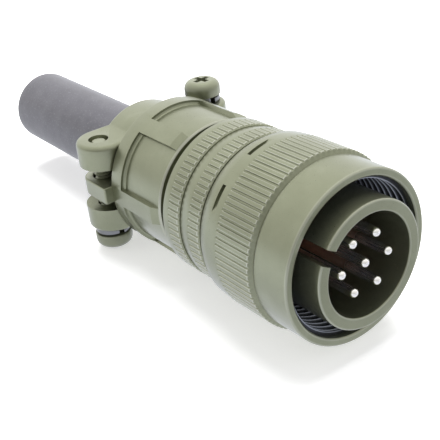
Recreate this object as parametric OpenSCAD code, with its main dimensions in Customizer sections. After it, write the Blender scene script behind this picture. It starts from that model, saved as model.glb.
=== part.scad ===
// Straight circular cable plug with a threaded coupling nut, seven pin contacts and a ribbed cable clamp.
// Millimetres. The connector's axis is X with the mating end towards +X, and Z runs along the clamp screws.
// The origin is on the axis, level with the front face of the coupling nut.

/* [Mating barrel] */
// Outside diameter of the barrel that enters the receptacle
barrel_d = 20.4; // [19.6:0.1:21]
// Wall of the barrel
barrel_wall = 1.9; // [1.5:0.1:2.2]
// How far the barrel stands out past the coupling nut
barrel_reach = 2.6; // [1:0.1:5]
// Chamfer on the barrel's mouth
barrel_chamfer = 0.15; // [0.1:0.05:0.6]
// Width of the polarising keyway in the barrel
keyway_w = 2.4; // [1.6:0.1:3.2]
// Length of the keyway from the barrel's mouth
keyway_l = 17.6; // [8:0.1:18]
// Place of the keyway round the axis, in degrees from the right-hand clamp screw
keyway_angle = 150; // [135:1:165]

/* [Contacts and insulator] */
// Diameter of the pin contacts
contact_d = 1.59; // [1.3:0.01:1.8]
// Diameter of the circle of outer contacts
contact_ring_d = 9.53; // [8.6:0.01:10]
// Depth of the contact tips behind the barrel's mouth
contact_tip_depth = 0.6; // [0.5:0.1:4]
// How far a contact's root in the insulator stands out past the pin
contact_root_step = 0.25; // [0.2:0.05:0.35]
// Diameter of the collar that traps each contact in the insulator
contact_collar_d = 2.5; // [2.2:0.1:3]
// Length of that collar
contact_collar_l = 2; // [1.2:0.1:2.4]
// Outside diameter of the solder cup
solder_cup_d = 2.3; // [2:0.1:2.5]
// Bore of the solder cup
solder_cup_bore = 1.6; // [1.2:0.1:1.7]
// Length of the solder cup behind the insulator
solder_cup_l = 5; // [3.5:0.1:6]
// Depth of the insulator's face behind the barrel's mouth
insulator_depth = 18.1; // [14:0.1:19]
// Whole length of the insulator
insulator_l = 11; // [10:0.1:12]
// Length of the insulator's nose, in front of its flange
insulator_nose_l = 2.5; // [2:0.1:3.5]
// Length of the flange on the front half of the insulator
insulator_flange_l = 2.6; // [2.4:0.1:3.4]
// How far that flange stands out past the barrel's bore
insulator_flange_step = 1.1; // [0.8:0.1:1.2]
// Thickness of the snap ring behind the insulator
snap_ring_t = 0.8; // [0.6:0.1:1]
// Gap in degrees between the snap ring's ends
snap_ring_gap_angle = 30; // [10:1:60]
// Radial depth of the snap ring's groove
snap_groove_depth = 0.6; // [0.4:0.1:0.7]

/* [Coupling nut] */
// Major diameter of the coupling thread
coupling_thread_d = 25.4; // [25.2:0.1:25.6]
// Whole length of the nut
nut_l = 21.2; // [20.6:0.1:22]
// Diameter of the smooth band at the nut's front
nut_band_d = 28.1; // [27.4:0.1:28.6]
// Distance from the nut's front to the crests of its knurl
nut_band_l = 7.3; // [5:0.1:9]
// Diameter over the crests of the nut's knurl
nut_knurl_d = 29.4; // [28.9:0.1:30]
// Depth and length of the small groove between the band and the slope in front of the knurl
nut_relief = 0.15; // [0.1:0.05:0.3]
// Length of the nut's knurl
nut_knurl_l = 8; // [5:0.1:8.2]
// Number of teeth in the nut's knurl
nut_knurl_teeth = 84; // [60:1:90]
// Diameter of the nut's rear face, inside its rounded edge
nut_rear_d = 26.6; // [26.2:0.1:27]
// Radius of the rounded rear edge of the nut
nut_rear_round = 1; // [0.4:0.1:1.4]
// Chamfer on the nut's front edges
nut_front_chamfer = 0.2; // [0.1:0.05:0.6]
// Axial room between the nut and the grip ring behind it
nut_room = 0.15; // [0.1:0.05:0.3]

/* [Retaining wire] */
// Diameter of the wire that holds the nut on the shell
wire_d = 0.9; // [0.7:0.1:1]
// Distance of the wire from the nut's rear face
wire_inset = 4.1; // [2.2:0.05:4.2]
// Gap in degrees between the two ends of the wire
wire_gap_angle = 34; // [20:1:40]
// Width of the two slots through which the wire is fed
wire_slot_w = 1.1; // [1:0.1:1.3]
// Slope of a slot's floor against the tangent, in degrees
wire_slot_rise = 17; // [0:1:25]
// Middle of the bridge between the two slots, in degrees
wire_slot_angle = 123; // [100:1:140]
// Width of that bridge in degrees
wire_bridge_angle = 23.5; // [15:0.5:30]

/* [Shell] */
// Diameter of the hub that the nut turns on
hub_d = 25; // [24.6:0.1:25]
// Length of the hub inside the nut
hub_l = 5.2; // [4.6:0.1:5.8]
// Diameter over the knurled grip ring
grip_d = 27.3; // [26.8:0.1:27.8]
// Diameter of the grip ring's rear end, below the end bell's knurl
grip_low_d = 26.6; // [26.2:0.1:26.8]
// Length of the grip ring
grip_l = 5.05; // [4.4:0.05:5.6]
// Length of the knurl on the grip ring and on the end bell
grip_knurl_l = 2.85; // [2:0.05:3.4]
// Number of teeth in the knurl of the grip ring and of the end bell
grip_knurl_teeth = 75; // [60:1:84]
// Diameter of the threads that join shell, end bell and clamp
accessory_thread_d = 22.2; // [21.6:0.1:22.4]
// Length of the thread on the rear of the shell
shell_thread_l = 3; // [2.4:0.1:3.6]

/* [End bell] */
// Length of the end bell outside its neck
bell_l = 4.4; // [4:0.1:6]
// Bore of the end bell's neck
bell_bore_d = 18.4; // [17:0.1:19]

/* [Clamp body] */
// Length of the clamp body without its lugs
clamp_l = 14.2; // [13:0.05:17]
// Gap between the end bell and the clamp body
clamp_gap = 2.2; // [0.4:0.05:2.6]
// Diameter over the ribs and the rear flange
clamp_d = 27.1; // [26.6:0.1:27.6]
// Depth of the panels between the ribs
panel_depth = 0.8; // [0.5:0.1:1]
// Number of ribs
rib_count = 6; // [4:1:8]
// Width of a rib in degrees
rib_angle = 13.6; // [8:0.2:24]
// Length of the slope at the ribs' front ends
rib_slope_l = 1.65; // [1:0.05:4]
// How far the ribs' front ends stand out past the panels
rib_front_rise = 0.15; // [0.1:0.05:0.4]
// Chamfer on the clamp body's front edge
clamp_front_chamfer = 0.25; // [0.15:0.05:0.4]
// Length of the rear flange
flange_l = 3.4; // [2.4:0.1:3.6]
// Thickness of the wall behind the bushing's flange
clamp_rear_wall = 3.8; // [3:0.1:4.4]
// Thickness of the two lugs
lug_t = 3.1; // [2.4:0.1:4]
// How far a lug reaches past its screw, sideways
lug_side = 3.5; // [2.4:0.1:3.8]
// How far a lug reaches past its screw, to the rear
lug_rear = 3.5; // [3:0.1:4]

/* [Saddles] */
// Width of a saddle along the connector
saddle_w = 9.6; // [8:0.1:10.4]
// Outside radius of a saddle's arch
saddle_arch_r = 10.8; // [10:0.1:12]
// Distance between the two clamp screws
screw_spacing = 23.4; // [22.8:0.1:26]
// How far an ear reaches past its screw
ear_reach = 4; // [3.6:0.1:4.8]
// Height of the gap between facing ears
ear_gap = 7.8; // [7:0.1:8.6]
// Thickness of an ear
ear_t = 4.5; // [3.6:0.1:5]
// Rounding of an ear's outer edge
ear_round = 0.8; // [0.3:0.1:1.2]
// Casting draft of an ear's end, as loss of radius over its thickness
ear_draft = 0.3; // [0:0.05:0.5]
// Gap between the clamp body's flange and the saddles
saddle_room = 0.3; // [0.2:0.05:0.6]

/* [Screws and washers] */
// Diameter of the clamp screws
screw_d = 3.5; // [3:0.1:3.8]
// Diameter of the screw head
screw_head_d = 6.8; // [6.2:0.1:7.2]
// Height of the screw head
screw_head_h = 2.8; // [2.4:0.1:3.4]
// Rounding of the screw head's top edge
screw_head_round = 1.5; // [0.8:0.1:2]
// How far the screw's end lies below the far ear's face
screw_end_depth = 0.35; // [0.2:0.05:1]
// Width of the cross recess
recess_w = 1.2; // [0.8:0.05:1.4]
// Length of the cross recess
recess_l = 4.4; // [3:0.1:4.8]
// Depth of the cross recess
recess_depth = 1.5; // [1:0.1:1.8]
// Turn of the cross recess from the connector's axis, in degrees
recess_turn = 7; // [0:1:90]
// Thickness of a spring lock washer
washer_t = 1.4; // [1:0.1:1.6]
// Outside diameter of a lock washer
washer_d = 6.3; // [6:0.1:6.6]
// Width of the split in a lock washer, in degrees
washer_split_angle = 18; // [8:1:30]

/* [Bushing] */
// Outside diameter of the rubber bushing
bushing_d = 14.6; // [13.6:0.1:15]
// Bore of the bushing, for the cable
bushing_bore = 11.1; // [9:0.1:11.6]
// Length of the bushing behind the clamp body
bushing_reach = 49.8; // [30:0.1:80]
// Length of the flange at the bushing's front end
bushing_flange_l = 2.9; // [2:0.1:3.4]

/* [Hidden] */
$fn = 96;

// Radial room in threads, slip fits and running fits
fit_room = 0.05;
// Room round a screw in its clearance holes
screw_room = 0.2;
// Room between faces that only just miss each other
face_room = 0.1;
// Overlap of solids that are joined
joint_bite = 0.6;
// Overshoot of a cutting tool
cut_over = 1;

olive = "#6c7059";
steel = "#b9bab6";
bright_metal = "#d8d4c8";
black_insulator = "#1b1b1c";
black_rubber = "#3a3a40";

// Radii of the turned pieces
barrel_r = barrel_d / 2;
bore_r = barrel_r - barrel_wall;
seat_r = bore_r + insulator_flange_step;
hub_r = hub_d / 2;
grip_r = grip_d / 2;
grip_low_r = grip_low_d / 2;
accessory_r = accessory_thread_d / 2;
clamp_r = clamp_d / 2;
panel_r = clamp_r - panel_depth;
bushing_r = bushing_d / 2;

// Stations along X, from the mating end to the cable end
barrel_front = barrel_reach;
contact_tip = barrel_front - contact_tip_depth;
insulator_front = barrel_front - insulator_depth;
insulator_seat = insulator_front - insulator_nose_l;
insulator_split = insulator_seat - insulator_flange_l;
insulator_back = insulator_front - insulator_l;
snap_ring_back = insulator_back - snap_ring_t;
nut_back = -nut_l;
hub_front = nut_back + hub_l;
wire_x = nut_back + wire_inset;
grip_front = nut_back - nut_room;
grip_back = grip_front - grip_l;
shell_back = grip_back - shell_thread_l;
bell_back = grip_back - bell_l;
clamp_front = bell_back - clamp_gap;
clamp_back = clamp_front - clamp_l;
flange_front = clamp_back + flange_l;
bushing_seat = clamp_back + clamp_rear_wall;
bushing_front = bushing_seat + bushing_flange_l;
neck_back = bushing_front + face_room;
bushing_back = clamp_back - bushing_reach;
saddle_front = clamp_back - saddle_room;
screw_x = saddle_front - saddle_w / 2;
screw_y = screw_spacing / 2;
ear_mid_y = screw_y + ear_reach - saddle_w / 2;

// Heights of the ears and of what is stacked on them
ear_low = ear_gap / 2;
ear_high = ear_low + ear_t;
head_low = ear_high + washer_t;
screw_l = ear_high + head_low - screw_end_depth;

// Depth of the knurls, chamfers at their fronts and on plain edges, and length over which a groove runs out
knurl_depth = 0.34;
knurl_front_chamfer = 0.3;
edge_chamfer = 0.16;
knurl_run_out = 0.7;
// Shares of a tooth's pitch taken by its flat crest and by the floor of its groove
crest_share = 0.64;
groove_share = 0.08;
// Level to which the flanks are drawn beyond the crests, in depths
tip_level = -1.2;
// Angle about the axis at which the clamp's turned outline starts
clamp_start_turn = 271.5;

// Turns work drawn along Z so that it lies along the connector's axis, with angles counted from +Y to +Z
module along_axis()
    rotate([90, 0, 90])
    children();

// A solid of revolution from points of [radius, station]
module turned(profile)
    rotate_extrude()
    polygon(profile);

// A cylinder between two stations
module round_bar(radius, from_x, to_x)
    translate([0, 0, min(from_x, to_x)])
    cylinder(r = radius, h = abs(to_x - from_x));

// Half width of a tooth as a share of its pitch, from level 0 at the crest to level 1 at the groove's floor
function tooth_half(level) = (crest_share + level * (1 - groove_share - crest_share)) / 2;

// Outline of a straight knurl, with its flanks carried on past the crests
function knurl_outline(crest_r, teeth) = [
    for (tooth = [0 : teeth - 1], corner = [
        [-tooth_half(tip_level), tip_level], [tooth_half(tip_level), tip_level],
        [tooth_half(1), 1], [1 - tooth_half(1), 1]
    ])
        let (turn = (tooth + corner[0]) * 360 / teeth, reach = crest_r - corner[1] * knurl_depth)
        [reach * cos(turn), reach * sin(turn)]
];

// The grooves between the teeth of a straight knurl, which run out at the rear along a cone
module knurl_grooves(front_x, length, crest_r, teeth) {
    end_x = front_x - length + edge_chamfer;
    over_r = crest_r + knurl_depth;
    under_r = crest_r - 2 * knurl_depth;
    difference() {
        turned([
            [under_r, front_x + cut_over], [over_r, front_x + cut_over],
            [over_r, end_x - knurl_run_out], [under_r, end_x + 2 * knurl_run_out]
        ]);
        translate([0, 0, front_x - length - cut_over])
        linear_extrude(length + 3 * cut_over)
        polygon(knurl_outline(crest_r, teeth));
    }
}

// Ring of wire with a round section about the axis
module wire_ring(section_d, sweep)
    rotate([0, 0, wire_slot_angle + (360 - sweep) / 2])
    rotate_extrude(angle = sweep)
    translate([hub_r, wire_x])
    circle(d = section_d, $fn = 32);

// Slot that slopes down to the wire's groove, on one side of the bridge
module wire_slot(side) {
    slot_floor = hub_r + wire_d / 4;
    slot_l = nut_knurl_d / 2;
    rotate([0, 0, wire_slot_angle + side * wire_bridge_angle / 2])
    translate([slot_floor, 0, wire_x - wire_slot_w / 2])
    rotate([0, 0, -side * wire_slot_rise])
    translate([0, side < 0 ? -slot_l : 0, 0])
    cube([slot_l, slot_l, wire_slot_w]);
}

module coupling_nut()
    color(olive)
    along_axis()
    difference() {
        knurl_front = -nut_band_l;
        knurl_back = knurl_front - nut_knurl_l;
        band_r = nut_band_d / 2;
        crest_r = nut_knurl_d / 2;
        band_back = knurl_front + crest_r - band_r;
        rear_r = nut_rear_d / 2;
        thread_r = coupling_thread_d / 2;
        union() {
            turned([
                [0, 0], [band_r - nut_front_chamfer, 0], [band_r, -nut_front_chamfer],
                [band_r, band_back], [band_r - nut_relief, band_back],
                [band_r - nut_relief, band_back - nut_relief], [crest_r, knurl_front],
                [crest_r, knurl_back], [0, knurl_back]
            ]);
            intersection() {
                turned([
                    [0, knurl_back], [crest_r, knurl_back],
                    [rear_r + nut_rear_round, nut_back + nut_rear_round / 2],
                    [rear_r + nut_rear_round, nut_back], [0, nut_back]
                ]);
                union() {
                    rotate_extrude()
                    translate([rear_r, nut_back + nut_rear_round])
                    circle(r = nut_rear_round, $fn = 48);
                    round_bar(rear_r, nut_back, knurl_back);
                    round_bar(crest_r + cut_over, nut_back + nut_rear_round, knurl_back);
                }
            }
        }
        turned([
            [0, cut_over], [thread_r + nut_front_chamfer, cut_over], [thread_r + nut_front_chamfer, 0],
            [thread_r, -nut_front_chamfer], [thread_r, hub_front + face_room], [0, hub_front + face_room]
        ]);
        knurl_grooves(knurl_front, nut_knurl_l, crest_r, nut_knurl_teeth);
        round_bar(hub_r + fit_room, hub_front + cut_over, nut_back - cut_over);
        wire_ring(wire_d + 2 * fit_room, 360);
        wire_slot(1);
        wire_slot(-1);
    }

module retaining_wire()
    color(steel)
    along_axis()
    wire_ring(wire_d, 360 - wire_gap_angle);

module plug_shell()
    color(olive)
    along_axis()
    difference() {
        union() {
            turned([
                [0, barrel_front], [barrel_r - barrel_chamfer, barrel_front],
                [barrel_r, barrel_front - barrel_chamfer], [barrel_r, hub_front - joint_bite],
                [0, hub_front - joint_bite]
            ]);
            round_bar(hub_r, hub_front, grip_front - joint_bite);
            turned([
                [0, grip_front], [grip_r - knurl_front_chamfer, grip_front],
                [grip_r, grip_front - knurl_front_chamfer],
                [grip_r, grip_front - grip_knurl_l], [grip_low_r, grip_back], [0, grip_back]
            ]);
            round_bar(accessory_r, grip_back + joint_bite, shell_back);
        }
        turned([
            [0, barrel_front + cut_over], [bore_r + barrel_chamfer + cut_over, barrel_front + cut_over],
            [bore_r, barrel_front - barrel_chamfer], [bore_r, shell_back - cut_over], [0, shell_back - cut_over]
        ]);
        knurl_grooves(grip_front, grip_knurl_l, grip_r, grip_knurl_teeth);
        round_bar(seat_r, insulator_seat, shell_back - cut_over);
        round_bar(seat_r + snap_groove_depth, insulator_back, snap_ring_back);
        wire_ring(wire_d + 2 * fit_room, 360);
        rotate([0, 0, keyway_angle])
        translate([bore_r - barrel_wall, -keyway_w / 2, barrel_front - keyway_l])
        cube([3 * barrel_wall, keyway_w, keyway_l + cut_over]);
    }

// Number of contacts on the ring, one node each
contact_ring_count = 6;

// Places of the contacts: the middle one first, then the ring
contact_places = concat([[0, 0]], [
    for (step = [0 : contact_ring_count - 1])
        let (turn = step * 360 / contact_ring_count)
        [contact_ring_d / 2 * cos(turn), contact_ring_d / 2 * sin(turn)]
]);

// Stations and radii that a contact shares with its holes in the insulator
collar_front = insulator_split + contact_collar_l;
contact_r = contact_d / 2;
root_r = contact_r + contact_root_step;
collar_r = contact_collar_d / 2;
cup_r = solder_cup_d / 2;
cup_back = insulator_back - solder_cup_l;
tip_arc_step = 15;

// One pin contact: round-nosed pin, collar and open solder cup
module contact(index)
    color(bright_metal)
    along_axis()
    translate(contact_places[index])
    difference() {
        turned(concat(
            [[0, cup_back], [cup_r, cup_back], [cup_r, insulator_split], [collar_r, insulator_split],
                [collar_r, collar_front], [root_r, collar_front], [root_r, insulator_front],
                [contact_r, insulator_front]],
            [for (turn = [0 : tip_arc_step : 90])
                [contact_r * cos(turn), contact_tip - contact_r + contact_r * sin(turn)]]
        ));
        round_bar(solder_cup_bore / 2, cup_back - cut_over, insulator_back - cut_over);
        translate([-solder_cup_d, 0, cup_back - cut_over])
        cube([2 * solder_cup_d, solder_cup_d, solder_cup_l / 2 + cut_over]);
    }

module front_insert()
    color(black_insulator)
    along_axis()
    difference() {
        union() {
            round_bar(bore_r - fit_room, insulator_front, insulator_split);
            round_bar(seat_r - fit_room, insulator_seat, insulator_split);
        }
        for (place = contact_places)
            translate(place) {
                round_bar(root_r + fit_room, insulator_front + cut_over, insulator_split - cut_over);
                round_bar(collar_r + fit_room, collar_front, insulator_split - cut_over);
            }
    }

module rear_insert()
    color(black_insulator)
    along_axis()
    difference() {
        round_bar(seat_r - fit_room, insulator_split, insulator_back);
        for (place = contact_places)
            translate(place)
            round_bar(cup_r + fit_room, insulator_split + cut_over, insulator_back - cut_over);
    }

module insert_ring()
    color(steel)
    along_axis()
    rotate([0, 0, keyway_angle - 180 + snap_ring_gap_angle / 2])
    rotate_extrude(angle = 360 - snap_ring_gap_angle)
    translate([bore_r, snap_ring_back + fit_room / 2])
    square([seat_r + snap_groove_depth - fit_room - bore_r, snap_ring_t - fit_room]);

module end_bell()
    color(olive)
    along_axis()
    difference() {
        bell_r = grip_r;
        union() {
            turned([
                [0, grip_back], [bell_r - knurl_front_chamfer, grip_back],
                [bell_r, grip_back - knurl_front_chamfer], [bell_r, bell_back + edge_chamfer],
                [bell_r - edge_chamfer, bell_back], [0, bell_back]
            ]);
            round_bar(accessory_r, bell_back + joint_bite, neck_back);
        }
        knurl_grooves(grip_back, grip_knurl_l, bell_r, grip_knurl_teeth);
        round_bar(bell_bore_d / 2, grip_back + cut_over, neck_back - cut_over);
        round_bar(accessory_r + fit_room, grip_back + cut_over, shell_back - face_room);
    }

// The recess of one panel between two ribs, with a small fillet against the flange
module panel_recess(middle_angle) {
    sweep = 360 / rib_count - rib_angle;
    fillet = panel_depth / 2;
    rotate([0, 0, middle_angle - sweep / 2])
    rotate_extrude(angle = sweep)
    polygon([
        [panel_r, clamp_front + cut_over], [panel_r, flange_front + fillet],
        [panel_r + fillet, flange_front], [clamp_r + cut_over, flange_front],
        [clamp_r + cut_over, clamp_front + cut_over]
    ]);
}

// Flat lug beside the bushing, drawn on the +Y side
module lug() {
    inner_y = bushing_r + screw_room;
    outer_y = screw_y + lug_side;
    rear_x = screw_x - lug_rear;
    corner_r = lug_side;
    translate([0, 0, -lug_t / 2])
    linear_extrude(lug_t)
    union() {
        translate([rear_x + corner_r, inner_y])
        square([clamp_back + joint_bite - rear_x - corner_r, outer_y - inner_y]);
        translate([rear_x, inner_y])
        square([corner_r + joint_bite, outer_y - corner_r - inner_y]);
        translate([rear_x + corner_r, outer_y - corner_r])
        circle(r = corner_r);
    }
}

module clamp_body()
    color(olive)
    difference() {
        union() {
            along_axis()
            rotate([0, 0, clamp_start_turn])
            turned([
                [0, clamp_front], [panel_r - clamp_front_chamfer, clamp_front],
                [panel_r + rib_front_rise, clamp_front - clamp_front_chamfer - rib_front_rise],
                [clamp_r, clamp_front - rib_slope_l], [clamp_r, clamp_back + edge_chamfer],
                [clamp_r - edge_chamfer, clamp_back], [0, clamp_back]
            ]);
            for (turn = [0, 180])
                rotate([turn, 0, 0])
                lug();
        }
        along_axis() {
            for (step = [0 : rib_count - 1])
                panel_recess((step + 1 / 2) * 360 / rib_count);
            round_bar(accessory_r + fit_room, clamp_front + cut_over, bushing_seat);
            round_bar(bushing_r + fit_room, bushing_seat + cut_over, clamp_back - saddle_w - cut_over);
        }
        for (side = [-1, 1])
            translate([screw_x, side * screw_y, 0])
            cylinder(d = screw_d + 2 * screw_room, h = lug_t + 2 * cut_over, center = true);
    }

module cable_bushing()
    color(black_rubber)
    along_axis()
    difference() {
        union() {
            round_bar(bushing_r, bushing_front, bushing_back);
            round_bar(accessory_r - fit_room, bushing_front, bushing_seat);
        }
        round_bar(bushing_bore / 2, bushing_front + cut_over, bushing_back - cut_over);
    }

// Rounded end of an ear, with draft towards the gap
module ear_end() {
    ear_r = saddle_w / 2;
    intersection() {
        turned([
            [0, ear_low], [ear_r - ear_draft, ear_low], [ear_r, ear_high], [0, ear_high]
        ]);
        union() {
            rotate_extrude()
            translate([ear_r - ear_round, ear_high - ear_round])
            circle(r = ear_round, $fn = 48);
            round_bar(ear_r - ear_round, ear_low, ear_high);
            round_bar(ear_r, ear_low, ear_high - ear_round);
        }
    }
}

// One saddle over the bushing, drawn above it; its screw goes in from above on the +Y side
module saddle()
    color(olive)
    difference() {
        union() {
            translate([screw_x - saddle_w / 2, 0, 0])
            rotate([90, 0, 90])
            linear_extrude(saddle_w)
            intersection() {
                union() {
                    circle(r = saddle_arch_r);
                    translate([-ear_mid_y, 0])
                    square([2 * ear_mid_y, ear_high]);
                }
                translate([-ear_mid_y, ear_low])
                square([2 * ear_mid_y, saddle_arch_r]);
            }
            for (side = [-1, 1])
                translate([screw_x, side * ear_mid_y, 0])
                ear_end();
        }
        along_axis()
        round_bar(bushing_r + fit_room, clamp_back + cut_over, screw_x - saddle_w);
        translate([screw_x, screw_y, 0])
        cylinder(d = screw_d + 2 * screw_room, h = head_low);
        translate([screw_x, -screw_y, 0]) {
            thread_hole_r = screw_d / 2 + fit_room;
            cylinder(r = thread_hole_r, h = head_low);
            translate([0, 0, ear_high - screw_room])
            cylinder(r1 = thread_hole_r, r2 = thread_hole_r + 2 * screw_room, h = 2 * screw_room);
        }
    }

// One clamp screw, drawn at the +Y side with its head on top
module clamp_screw()
    color(olive)
    translate([screw_x, screw_y, 0])
    difference() {
        head_r = screw_head_d / 2;
        union() {
            intersection() {
                translate([0, 0, head_low])
                cylinder(r = head_r, h = screw_head_h);
                union() {
                    rotate_extrude()
                    translate([head_r - screw_head_round, head_low + screw_head_h - screw_head_round])
                    circle(r = screw_head_round, $fn = 48);
                    round_bar(head_r - screw_head_round, head_low, head_low + screw_head_h);
                    round_bar(head_r, head_low, head_low + screw_head_h - screw_head_round);
                }
            }
            round_bar(screw_d / 2, head_low - screw_l, head_low + joint_bite);
        }
        translate([0, 0, head_low + screw_head_h - recess_depth])
        for (turn = [recess_turn, recess_turn + 90])
            rotate([0, 0, turn])
            translate([-recess_l / 2, -recess_w / 2, 0])
            cube([recess_l, recess_w, recess_depth + cut_over]);
    }

// One split lock washer under the head of that screw
module lock_washer()
    color(steel)
    translate([screw_x, screw_y, 0])
    rotate([0, 0, washer_split_angle / 2])
    rotate_extrude(angle = 360 - washer_split_angle)
    translate([screw_d / 2 + screw_room / 2, ear_high])
    square([(washer_d - screw_d - screw_room) / 2, washer_t]);

// The lower half of the clamp is the upper half turned half round about the connector's axis
module turned_half()
    rotate([180, 0, 0])
    children();

module upper_saddle() saddle();
module lower_saddle() turned_half() saddle();
module right_screw() clamp_screw();
module left_screw() turned_half() clamp_screw();
module right_lock_washer() lock_washer();
module left_lock_washer() turned_half() lock_washer();

coupling_nut();
retaining_wire();
plug_shell();
front_insert();
rear_insert();
insert_ring();
contact(1);  // contact_pin_a
contact(2);  // contact_pin_b
contact(3);  // contact_pin_c
contact(4);  // contact_pin_d
contact(5);  // contact_pin_e
contact(6);  // contact_pin_f
contact(0);  // contact_pin_g
end_bell();
clamp_body();
cable_bushing();
upper_saddle();
lower_saddle();
left_screw();
right_screw();
left_lock_washer();
right_lock_washer();
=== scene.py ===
import math

import bmesh
import bpy
from mathutils import Matrix, Vector


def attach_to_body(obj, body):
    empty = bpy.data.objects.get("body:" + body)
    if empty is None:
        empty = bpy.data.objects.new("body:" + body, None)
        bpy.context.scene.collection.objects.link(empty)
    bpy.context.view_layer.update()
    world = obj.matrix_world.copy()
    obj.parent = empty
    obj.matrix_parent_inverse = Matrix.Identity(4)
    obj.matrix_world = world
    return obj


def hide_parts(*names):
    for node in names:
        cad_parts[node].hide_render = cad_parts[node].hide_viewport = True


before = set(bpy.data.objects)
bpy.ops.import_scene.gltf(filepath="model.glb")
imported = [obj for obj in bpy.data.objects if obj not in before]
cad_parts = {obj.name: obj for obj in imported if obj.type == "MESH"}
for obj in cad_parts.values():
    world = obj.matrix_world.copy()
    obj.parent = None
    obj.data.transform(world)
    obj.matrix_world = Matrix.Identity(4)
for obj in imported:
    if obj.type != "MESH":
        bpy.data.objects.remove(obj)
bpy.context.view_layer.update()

mm = 0.001
scene = bpy.context.scene
scene.view_settings.view_transform = "Standard"


# sRGB hex to the linear values that sockets take
def hexLinear(code):
    parts = [int(code[i:i + 2], 16) / 255 for i in (1, 3, 5)]
    return tuple(c / 12.92 if c <= 0.04045 else ((c + 0.055) / 1.055) ** 2.4 for c in parts) + (1.0,)


# adds one node: settings go on the node, inputs are values or sockets to link
def addNode(tree, kind, settings=None, inputs=None):
    node = tree.nodes.new(kind)
    for key, value in (settings or {}).items():
        if key == "stops":
            ramp = node.color_ramp
            while len(ramp.elements) < len(value):
                ramp.elements.new(0.5)
            for element, (position, code) in zip(ramp.elements, value):
                element.position = position
                element.color = hexLinear(code)
        else:
            setattr(node, key, value)
    for key, value in (inputs or {}).items():
        if isinstance(value, bpy.types.NodeSocket):
            tree.links.new(value, node.inputs[key])
        else:
            node.inputs[key].default_value = value
    return node


# steps that several finishes share, each giving the socket of its result


# noise in patches of about the given size in mm
def noiseOf(tree, spots, size, detail, roughness=0.5):
    noise = addNode(tree, "ShaderNodeTexNoise", None, {
        "Vector": spots, "Scale": 1 / (size * mm), "Detail": detail, "Roughness": roughness})
    return noise.outputs["Fac"]


def shadesOf(tree, stops, factor):
    return addNode(tree, "ShaderNodeValToRGB", {"stops": stops}, {"Fac": factor}).outputs["Color"]


# a value taken from one range to another
def rangeOf(tree, value, ends=(0.0, 1.0), to=(0.0, 1.0), curve="LINEAR"):
    mapped = addNode(tree, "ShaderNodeMapRange", {"interpolation_type": curve}, {
        "Value": value, "From Min": ends[0], "From Max": ends[1], "To Min": to[0], "To Max": to[1]})
    return mapped.outputs["Result"]


def blendOf(tree, factor, first, second, kind="RGBA"):
    mix = addNode(tree, "ShaderNodeMix", {"data_type": kind}, {"Factor": factor, "A": first, "B": second})
    return mix.outputs["Result"]


def mathOf(tree, operation, *values):
    return addNode(tree, "ShaderNodeMath", {"operation": operation}, dict(enumerate(values))).outputs["Value"]


# fine relief: its strength, and its depth in mm
def bumpOf(tree, height, strength, depth):
    bump = addNode(tree, "ShaderNodeBump", None, {
        "Strength": strength, "Distance": depth * mm, "Height": height})
    return bump.outputs["Normal"]


def newMaterial(name):
    material = bpy.data.materials.new(name)
    material.use_nodes = True
    tree = material.node_tree
    tree.nodes.clear()
    return material, tree


# places on the piece itself, so that its finish moves with it
def ownSpots(tree):
    return addNode(tree, "ShaderNodeTexCoord").outputs["Object"]


def closeMaterial(tree, surface):
    addNode(tree, "ShaderNodeOutputMaterial", None, {"Surface": surface})


def closePrincipled(tree, inputs):
    closeMaterial(tree, addNode(tree, "ShaderNodeBsdfPrincipled", None, inputs).outputs["BSDF"])


# materials. a noise is given as its size in mm, its detail and, where it isn't the usual, its roughness


oliveFinish = {
    "shades": [(0.25, "#7f826c"), (0.6, "#868973"), (0.85, "#8f927e")],
    "blotch": (5.0, 4.0, 0.6),
    "grain": (0.16, 2.0),        # drawn coarser than the true plating grain so that it shows
    # pale edge colour: worn metal, and a painted highlight along rims, edges and knurl tips
    "edge": "#c4c5b8",
    "wearAndHighlightMix": 0.75,                # share of the edge colour where a knurl or a rim is fully marked, as wear and as a painted highlight
    "roughness": (0.24, 0.36),
    "metallic": 0.82,
    "bump": (0.12, 0.03),
}


# olive drab chromate on plated alloy: satin, a little uneven in colour, lighter on its edges as wear and as a
# painted highlight
def oliveChromate(name, finish):
    material, tree = newMaterial(name)
    spots = ownSpots(tree)
    grain = noiseOf(tree, spots, *finish["grain"])
    shade = shadesOf(tree, finish["shades"], noiseOf(tree, spots, *finish["blotch"]))
    # the mark carried on the mesh stands for wear and for a painted highlight on the edges
    wornAndHighlit = addNode(tree, "ShaderNodeAttribute", {"attribute_name": "rub"}).outputs["Fac"]
    wearAndHighlightShare = mathOf(tree, "MULTIPLY", wornAndHighlit, finish["wearAndHighlightMix"])
    closePrincipled(tree, {
        "Base Color": blendOf(tree, wearAndHighlightShare, shade, hexLinear(finish["edge"])),
        "Metallic": finish["metallic"],
        "Roughness": rangeOf(tree, grain, to=finish["roughness"]),
        "Normal": bumpOf(tree, grain, *finish["bump"])})
    return material


rubberFinish = {
    "shades": [(0.3, "#48474e"), (0.55, "#504f56"), (0.8, "#59585e")],
    "mottle": (3.0, 3.0),
    "bloom": "#8a8a90",
    "speck": (0.35, 1.0),
    "dusty": (0.58, 0.78),       # levels of the specks at which bloom starts and is full
    "cover": 0.35,
    "roughness": 0.42,
    "ior": 1.5,
    "sheen": (0.25, 0.4),        # weight and roughness
    "bump": (0.15, 0.05),
}


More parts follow.
